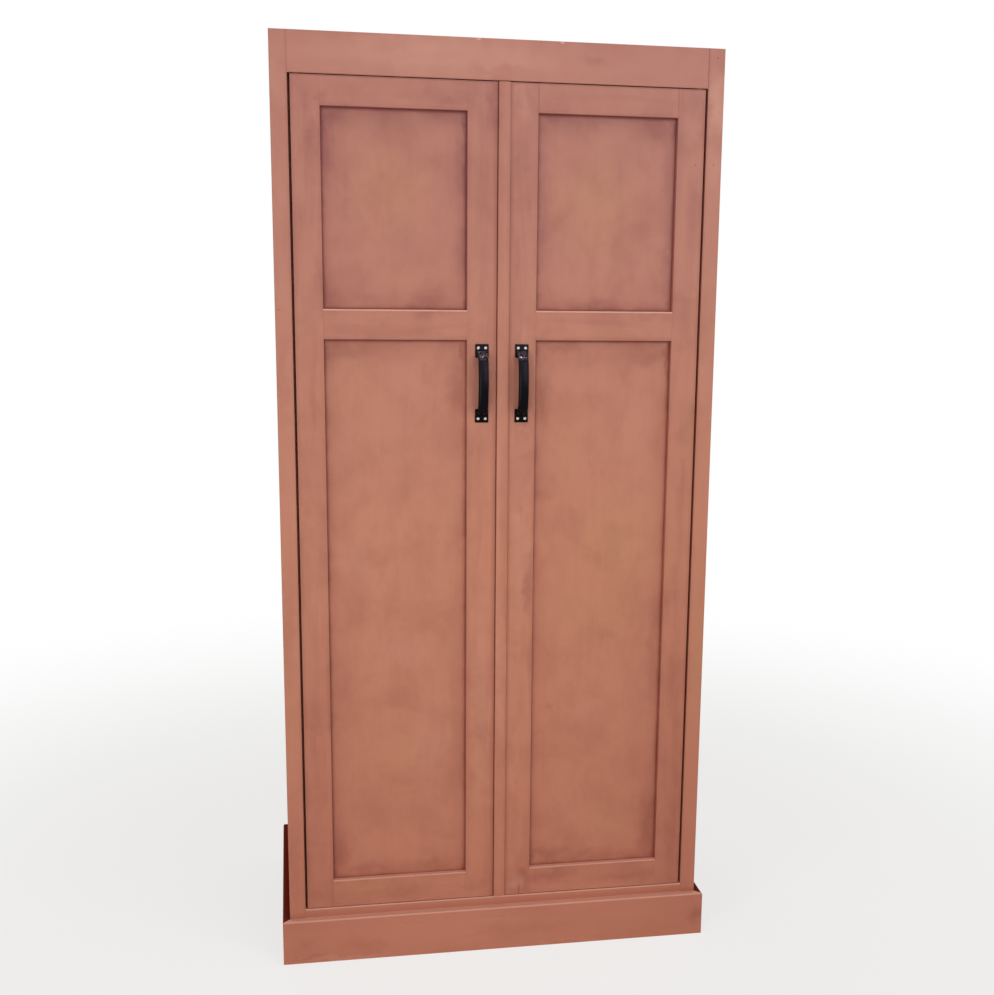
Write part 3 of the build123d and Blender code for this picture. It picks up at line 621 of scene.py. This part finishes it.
def enamelled_iron(looks, neck):
    """Sand-cast iron under black baked enamel. The eye gets a deep satin black whose highlight
    is broken by the casting's fine grain, under a millimetre. The upper part of the grip carries a
    painted sheen, lighter towards the top, and where the top bend faces up, at the neck height in
    metres, a painted glint: the enamel there is paler and partly metallic, as if hands had bared
    the grey metal."""
    material, put, shader, where = new_material("Enamelled Cast Iron")
    grain = put("TexNoise", where, Scale=1 / 0.0007, Detail=3.0)[0]
    lumps = put("TexNoise", where, Scale=1 / 0.006, Detail=2.0)[0]
    lobes = put("TexNoise", where, Scale=1 / 0.0045, Detail=0.0)[0]
    height = put("Math", lumps, 3.0, grain, operation="MULTIPLY_ADD")
    relief = put("Bump", Height=height, Strength=0.20, Distance=0.00012)
    satin = put("MapRange", lumps, 0.3, 0.7, 0.17, 0.24)
    z = put("SeparateXYZ", where)["Z"]
    # Painted sheen: the grip lightens towards its top.
    sheen = put("MapRange", z, neck - 0.085, neck - 0.015, 0.0, 0.30, **SOFT)
    black = put("Mix", sheen, looks.iron, looks.iron_sheen, **TONES)
    # Painted glint: where the top bend faces up near the neck the enamel turns paler and partly
    # metallic, as if hands had bared the metal.
    up = put("SeparateXYZ", put("NewGeometry")["True Normal"])["Z"]
    rubbed_glint = put("MapRange", up, 0.32, 0.62, 0.0, 0.5, **SOFT)
    high = put("MapRange", z, neck - 0.016, neck - 0.008)
    rubbed_glint = put("Math", rubbed_glint, high, operation="MULTIPLY")
    patchy = put("MapRange", lobes, 0.46, 0.56, 0.05, 1.0)
    rubbed_glint = put("Math", rubbed_glint, patchy, operation="MULTIPLY")
    black = put("Mix", rubbed_glint, black, looks.rubbed_glint, **TONES)
    wire(shader, {"Base Color": black, "Metallic": rubbed_glint, "Roughness": satin, "Normal": relief,
                  "IOR": 1.5, "Specular IOR Level": 0.06})
    return material


def plated_metal(name, tone, roughness, speck):
    """Metal with a dull plated or sintered face. The eye gets soft bright patches, about a
    millimetre across, in a finish that never turns to a mirror."""
    material, put, shader, where = new_material(name)
    cloud = put("TexNoise", where, Scale=1 / 0.0012, Detail=3.0)[0]
    pits = put("TexVoronoi", where, Scale=1 / 0.0006)[0]
    dark = put("MapRange", pits, 0.0, 0.35, speck, 0.0)
    metal = put("Mix", dark, tone, (*(c * 0.35 for c in tone[:3]), 1.0), **TONES)
    rough = put("MapRange", cloud, 0.3, 0.7, roughness - 0.06, roughness + 0.08)
    relief = put("Bump", Height=cloud, Strength=0.15, Distance=0.00004)
    wire(shader, {"Base Color": metal, "Metallic": 1.0, "Roughness": rough, "Normal": relief})
    return material


def moulded_abs(looks):
    """Moulded ABS with an eroded mould texture. The eye gets a matt brown with a fine, even
    grain of about half a millimetre."""
    material, put, shader, where = new_material("Moulded Catch ABS")
    grain = put("TexNoise", where, Scale=1 / 0.0005, Detail=2.0)[0]
    shade = put("MapRange", grain, 0.0, 1.0, 0.0, 0.2)
    brown = put("Mix", shade, looks.catch, looks.catch_light, **TONES)
    relief = put("Bump", Height=grain, Strength=0.4, Distance=0.00006)
    rough = put("MapRange", grain, 0.0, 1.0, 0.45, 0.62)
    wire(shader, {"Base Color": brown, "Roughness": rough, "Normal": relief, "IOR": 1.53})
    return material


def finish_nodes(names, material):
    """Give CAD nodes a material in all their slots."""
    for name in names:
        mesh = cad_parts[name].data
        if not mesh.materials:
            mesh.materials.append(material)
        for slot in range(len(mesh.materials)):
            mesh.materials[slot] = material


# ---- Operators ------------------------------------------------------------------------------
def span(node, axis):
    """Where a CAD node starts and ends along an axis, in millimetres."""
    return [getattr(corner, axis) * 1000 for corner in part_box(node)]


def look(place, aim, roll=0.0):
    """The matrix of a camera or lamp: it looks along its own -Z, with its X axis level and then
    turned about the line of sight by the roll."""
    forward = np.array(aim, float)
    forward /= np.linalg.norm(forward)
    right = np.cross(forward, (0, 0, 1))
    right /= np.linalg.norm(right)
    up = np.cross(right, forward)
    across = np.cos(roll) * right + np.sin(roll) * up
    over = -np.sin(roll) * right + np.cos(roll) * up
    turned = np.eye(4)
    turned[:3, :4] = np.column_stack([across, over, -forward, place])
    return Matrix(turned.tolist())


class PaintCase(bpy.types.Operator):
    """Paint the case, the face frame, the base and the doors' frames."""

    bl_idname = "cupboard.paint_case"
    bl_label = "Paint Case and Door Frames"

    def execute(self, context):
        looks = context.scene.cupboard_colours
        cloth_and_shade_marks("Board Cloth", BOARD_MARKS)
        base_top = span("base_front_board", "z")[1]
        head, top = span("frame_top_rail", "z")
        sill = span("frame_bottom_rail", "z")[1]
        frame_edge, case_side = span("frame_right_stile", "x")
        strip_left, strip_right = span("astragal", "x")
        hinge_edge = span("right_door_hinge_stile", "x")[1]
        bottom_rail, middle_rail = (span(f"right_door_{part}_rail", "z")[1]
                                    for part in ("bottom", "middle"))
        inner, outer = span("right_door_upper_panel", "x")
        # Painted shade in a band beside each hinge gap, and at the foot of the case above the base.
        finish_nodes(CASE_UPRIGHTS, glazed_paint(
            "Case Uprights", looks, "Z",
            creases=(("wide", frame_edge, 6, 0.16), ("z", base_top, 16, 0.20)), coats=0.5))
        # Painted shade above the base's ledge and along the head gap; a painted highlight, partly
        # glaze taken off, on the top arrises of the sill and the base; dark hairlines at the head
        # rail's joints.
        finish_nodes(CASE_LEVELS, glazed_paint(
            "Case Rails", looks, "X",
            creases=(("z", base_top + 6, 14, 0.14), ("z", head - 0.6, 3.4, 0.42)),
            wiped_and_lit=((sill, 0.8), (base_top, 0.35)),
            joints=((frame_edge, head, top, 0.55), (-frame_edge, head, top, 0.12)), coats=0.45))
        # Painted shade: the astragal's shadow and the meeting gap left of it, a band beside its lip,
        # and bands beside the hinge gaps and under the head gap; a dark hairline at one joint.
        finish_nodes(DOOR_UPRIGHTS, glazed_paint(
            "Door Stiles", looks, "Z",
            creases=(("x", strip_left - 1, 13, 0.32), ("x", strip_right + 2, 8, 0.24),
                     ("wide", hinge_edge, 9, 0.20), ("z", head - 2, 5.0, 0.42)),
            joints=((49, 124, 146, 0.5),), coats=1.15))
        # Painted shade under the head gap; a painted highlight, partly glaze taken off, on the top
        # arrises of the bottom and middle rails; dark hairlines at the top rails' joints.
        finish_nodes(DOOR_LEVELS, glazed_paint(
            "Door Rails", looks, "X",
            creases=(("z", head - 2, 5.0, 0.42),),
            wiped_and_lit=((bottom_rail, 0.7), (middle_rail, 1.0)),
            joints=[(x, 1841, 1899, 0.30) for x in (inner + PANEL_LAP, outer - PANEL_LAP)]))
        # Painted shade where the returns meet the case; on their ledges the deep tone, packed glaze
        # with a painted shadow of the case.
        finish_nodes(BASE_RETURNS, glazed_paint(
            "Base Returns", looks, "Y", creases=(("wide", case_side, 15, 0.60),),
            ledge=0.85, ledge_tone="deep_glaze_and_shade", gloss=0.0))
        return {"FINISHED"}


class PaintPanels(bpy.types.Operator):
    """Paint the four door panels, with glaze pooled along their edges and painted shade along the
    rims of their recesses, darkest under their heads.
    """

    bl_idname = "cupboard.paint_panels"
    bl_label = "Paint Door Panels"

    def execute(self, context):
        looks = context.scene.cupboard_colours
        cloth_and_shade_marks("Panel Cloth", PANEL_MARKS)
        heads = [span(f"right_door_{part}_panel", "z")[1] - PANEL_LAP
                 for part in ("lower", "upper")]
        # Painted shade: a dark band under the head of each panel opening, where the rails throw
        # shadow.
        finish_nodes(PANELS, glazed_paint(
            "Pooled on Panels", looks, "Z", cloth="Panel Cloth",
            creases=[("z", head, 8, 0.90) for head in heads]))
        return {"FINISHED"}


class MakeAstragal(bpy.types.Operator):
    """Make the rounded strip that covers the meeting of the doors."""

    bl_idname = "cupboard.astragal"
    bl_label = "Astragal"

    def execute(self, context):
        sizes = context.scene.cupboard_sizes
        low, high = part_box("astragal")
        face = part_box("right_door_lock_stile")[0]
        crown = face.y - low.y
        middle, half = (low.x + high.x) / 2, (high.x - low.x) / 2
        ease, arris = sizes.strip_ease, 0.0004
        # The face is a shallow arc through the crown; its ends turn down into the sides.
        spread = np.linspace(-1, 1, 33) * (half - ease)
        rise = crown - (crown - sizes.strip_shoulder - ease * 0.4) * (spread / (half - ease)) ** 2
        corner = np.linspace(np.pi / 2, 0, 7)[1:]
        edge = rise[-1]
        right = np.column_stack([half - ease + ease * np.cos(corner),
                                 edge - ease * (1 - np.sin(corner))])
        left = right[::-1] * (-1, 1)
        front = np.concatenate([left, np.column_stack([spread, rise]), right])
        front = np.column_stack([middle + front[:, 0], face.y - front[:, 1]])
        behind = np.array([[high.x, face.y], [face.x, face.y], [face.x, high.y],
                           [low.x, high.y]])
        profile = np.concatenate([front, behind])
        paint = glazed_paint("Astragal", context.scene.cupboard_colours, "Z", coats=0.8)
        strip = carried_profile(profile, low.z, high.z, arris)
        make_piece("astragal_strip", [strip], paint, "right_door", "painted_wood", 35, "astragal")
        return {"FINISHED"}


class MakeDustStrips(bpy.types.Operator):
    """Make the painted strip that closes the gap behind each hinge stile."""

    bl_idname = "cupboard.dust_strips"
    bl_label = "Dust Strips"

    def execute(self, context):
        sizes = context.scene.cupboard_sizes
        door_low, door_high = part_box("left_door_hinge_stile")
        side_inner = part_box("right_side_panel")[0].x
        paint = glazed_paint("Dust Strips", context.scene.cupboard_colours, "Z")
        # A batten let 0.1 mm into the back of the stile, from 0.3 mm short of the side's inner face
        # to just past the stile's edge; in plan its free edge is two quarter circles.
        let_in, clear, arris = 0.0001, 0.0003, 0.0003
        turn = np.linspace(0, np.pi / 2, 5)
        for side, way in zip(DOORS, (-1, 1)):
            low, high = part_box(f"frame_{side}_stile")
            edge = min(abs(low.x), abs(high.x)) - sizes.strip_reach
            ahead, ease = high.y - let_in, sizes.strip_ease
            behind = ahead + sizes.strip_deep
            round_x = edge + ease * (1 - np.sin(turn))
            front = np.column_stack([round_x, ahead + ease * (1 - np.cos(turn))])
            back = np.column_stack([round_x[::-1], behind - ease * (1 - np.cos(turn[::-1]))])
            glued = [[side_inner - clear, behind], [side_inner - clear, ahead]]
            profile = np.concatenate([front, back, glued]) * (way, 1)
            strip = carried_profile(profile, door_low.z, door_high.z, arris)
            make_piece(f"{side}_dust_strip", [strip], paint, "case", "painted_wood", 35)
        return {"FINISHED"}


class MakePulls(bpy.types.Operator):
    """Make the two cast pulls: screw plates, foot pads and an arched grip."""

    bl_idname = "cupboard.pulls"
    bl_label = "Cast Pulls"

    def execute(self, context):
        sizes = context.scene.cupboard_sizes
        low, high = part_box("right_pull")
        neck = (low.z + high.z) / 2 + sizes.foot_height
        iron = enamelled_iron(context.scene.cupboard_colours, neck)
        plate_rim = rounded_rim(sizes.plate_thick, radius=0.0009)
        pad_rim = rounded_rim(sizes.plate_thick + sizes.foot_pad_thick, radius=0.0030, count=9)
        pad_width = sizes.grip_width + 2 * sizes.foot_pad_margin
        pad_height = sizes.grip_crown + sizes.grip_back + 2 * sizes.foot_pad_margin
        pad_corner, pad_beyond = 0.0042, 0.0003
        for door in DOORS:
            low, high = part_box(f"{door}_pull")
            centre = ((low.x + high.x) / 2, high.y, (low.z + high.z) / 2)
            surfaces = [grip_surface(sizes, centre)]
            reach = (high.z - low.z) / 2
            for side in (-1, 1):
                plate = (centre[0], centre[1], centre[2] + side * (reach - sizes.plate_length / 2))
                surfaces.append(rounded_tablet(plate, high.x - low.x, sizes.plate_length,
                                               sizes.plate_corner, plate_rim))
                pad = (centre[0], centre[1], centre[2] + side * (sizes.foot_height + pad_beyond))
                surfaces.append(rounded_tablet(pad, pad_width, pad_height, pad_corner, pad_rim))
            make_piece(f"{door}_pull_casting", surfaces, iron, f"{door}_door", "black_iron", 48,
                       f"{door}_pull")
        return {"FINISHED"}


class MakeScrews(bpy.types.Operator):
    """Make the cross-recessed screws of the pulls, and the small ones of the strikes."""

    bl_idname = "cupboard.screws"
    bl_label = "Screws"

    def execute(self, context):
        sizes = context.scene.cupboard_sizes
        zinc = plated_metal("Zinc Plated Steel", context.scene.cupboard_colours.zinc,
                            roughness=0.34, speck=0.12)
        head = sizes.screw_head
        for door in DOORS:
            low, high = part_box(f"{door}_pull_screws")
            seat = low.y + sizes.screw_height
            surfaces = []
            for number, (x, z) in enumerate((x, z) for x in (low.x + head / 2, high.x - head / 2)
                                            for z in (low.z + head / 2, high.z - head / 2)):
                surfaces.append(screw_surface((x, seat, z), head, sizes.screw_height,
                                              sizes.screw_shank, depth=high.y - seat,
                                              turned=0.35 + 1.13 * number))
            make_piece(f"{door}_pull_round_screws", surfaces, zinc, f"{door}_door", "steel", 50,
                       f"{door}_pull_screws")
            low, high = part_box(f"{door}_strike_plate")
            small = sizes.small_screw
            surfaces = [screw_surface((x, high.y, (low.z + high.z) / 2), small,
                                      height=small * 0.06, shank=small * 0.5, depth=0.008,
                                      turned=0.6, outward=1.0)
                        for x in (low.x + small, high.x - small)]
            make_piece(f"{door}_strike_screws", surfaces, zinc, f"{door}_door", "steel", 50)
        return {"FINISHED"}


class FinishMetalFittings(bpy.types.Operator):
    """Finish the pivots, sockets, strikes and catches."""

    bl_idname = "cupboard.fittings"
    bl_label = "Pivots and Catches"

    def execute(self, context):
        looks = context.scene.cupboard_colours
        zinc = bpy.data.materials["Zinc Plated Steel"]
        finish_nodes([f"{door}_{part}" for door in DOORS
                      for part in ("door_pivot_pins", "strike_plate", "catch_poles")], zinc)
        finish_nodes(("head_sockets", "sill_sockets"),
                     plated_metal("Sintered Bronze", looks.bronze, roughness=0.5, speck=0.5))
        finish_nodes(("left_catch_case", "right_catch_case"), moulded_abs(looks))
        return {"FINISHED"}


class FinishInside(bpy.types.Operator):
    """Finish the shelves, cleats, deck and stops in pine, and the back in plywood."""

    bl_idname = "cupboard.inside"
    bl_label = "Bare Wood Inside"

    def execute(self, context):
        looks = context.scene.cupboard_colours
        names = list(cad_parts)
        finish_nodes([n for n in names if n.startswith("shelf_")] +
                     ["deck_board", "head_stop", "sill_stop"],
                     planed_pine("Planed Pine Across", looks, "X"))
        finish_nodes([n for n in names if "shelf_cleat" in n],
                     planed_pine("Planed Pine Front to Back", looks, "Y"))
        finish_nodes(("back_panel",), rotary_plywood(looks))
        return {"FINISHED"}


class SetStage(bpy.types.Operator):
    """Set the floor, the soft lamps, the pale surroundings and the camera."""

    bl_idname = "cupboard.stage"
    bl_label = "Stage"

    def execute(self, context):
        scene = context.scene
        looks = scene.cupboard_colours
        scene.view_settings.view_transform = "Standard"

        # Floor: a pale sheet that keeps the cupboard's shadow and fades out to white.
        mesh = bpy.data.meshes.new("studio_floor")
        far = 12.0
        mesh.from_pydata([(-far, -far, 0), (far, -far, 0), (far, far, 0), (-far, far, 0)], [],
                         [(0, 1, 2, 3)])
        new_object("studio_floor", mesh)
        material, put, shader, where = new_material("Pale Studio Floor")
        wire(shader, {"Base Color": looks.floor, "Roughness": 0.9, "Specular IOR Level": 0.0})
        off = put("VectorMath", where, operation="LENGTH")
        fade = put("MapRange", off, 0.9, 3.2, 0.72, 1.0, **SOFT)
        fade = put("Math", fade, seen_or_mirrored(put), operation="MULTIPLY")
        mixed = put("MixShader", fade, shader.outputs[0], put("Emission", WHITE, 1.0))
        wire(material.node_tree.nodes["Material Output"], {"Surface": mixed})
        mesh.materials.append(material)

        # Surroundings: soft light from everywhere, seen and mirrored as white.
        world = scene.world = bpy.data.worlds.new("Studio Surroundings")
        world.use_nodes = True
        put = partial(add_node, world.node_tree)
        soft = put("Background", (1.0, 0.985, 0.965, 1), 0.34)
        mixed = put("MixShader", seen_or_mirrored(put), soft, put("Background", WHITE, 1.0))
        wire(world.node_tree.nodes["World Output"], {"Surface": mixed})

        # Lamps: a broad soft key in front, up and to the right; a lower fill on the left; a small
        # one overhead, which lights the ledges and glints on the necks of the pulls; and a soft one
        # behind for the back.
        for name, place, side, power in (("key_lamp", (2.14, -4.4, 2.4), 2.8, 58.5),
                                         ("fill_lamp", (-1.5, -3.2, 0.73), 1.8, 32.0),
                                         ("ceiling_lamp", (0.0, -0.60, 3.1), 0.16, 5.0),
                                         ("back_lamp", (-1.4, 3.6, 2.5), 2.0, 22.0)):
            lamp = bpy.data.lights.new(name, "AREA")
            lamp.size, lamp.energy = side, power
            lamp.color = (1.0, 0.98, 0.95)
            holder = new_object(name, lamp)
            aim = np.array((0.0, -0.25, 1.05)) - np.array(place)
            holder.matrix_world = look(place, aim)
            holder.visible_camera = False

        # Camera: at the height of a standing person's shoulder, turned and dipped to the cupboard.
        data = bpy.data.cameras.new("camera")
        camera = scene.camera = new_object("camera", data)
        yaw, pitch = radians(10.5718), radians(-11.2802)
        aim = (np.sin(yaw) * np.cos(pitch), np.cos(yaw) * np.cos(pitch), np.sin(pitch))
        camera.matrix_world = look((-0.4400, -3.0735, 1.5075), aim, roll=radians(0.7605))
        data.lens = 48.557
        data.shift_x, data.shift_y = -0.04253, 0.04916
        data.clip_end = 100.0
        return {"FINISHED"}


class CupboardPanel(bpy.types.Panel):
    """Sizes, colours and steps of the cupboard."""

    bl_idname = "VIEW3D_PT_cupboard"
    bl_label = "Store Cupboard"
    bl_space_type = "VIEW_3D"
    bl_region_type = "UI"
    bl_category = "Cupboard"

    def draw(self, context):
        for group in (context.scene.cupboard_sizes, context.scene.cupboard_colours):
            column = self.layout.column(align=True)
            for name in group.__annotations__:
                column.prop(group, name)
        column = self.layout.column(align=True)
        for step in STEPS:
            column.operator(step.bl_idname)


STEPS = (SetStage, PaintCase, PaintPanels, MakeAstragal, MakeDustStrips, MakePulls, MakeScrews,
         FinishMetalFittings, FinishInside)
CLASSES = (CupboardSizes, CupboardColours, *STEPS, CupboardPanel)


def register():
    """Register the classes and hang the two groups of properties on the scene."""
    for cls in CLASSES:
        bpy.utils.register_class(cls)
    bpy.types.Scene.cupboard_sizes = PointerProperty(type=CupboardSizes)
    bpy.types.Scene.cupboard_colours = PointerProperty(type=CupboardColours)


def unregister():
    """Take the properties and the classes away again."""
    del bpy.types.Scene.cupboard_colours
    del bpy.types.Scene.cupboard_sizes
    for cls in reversed(CLASSES):
        bpy.utils.unregister_class(cls)


def main():
    """Dress the cupboard step by step."""
    register()
    for step in STEPS:
        group, action = step.bl_idname.split(".")
        getattr(getattr(bpy.ops, group), action)()


if __name__ == "__main__":
    main()
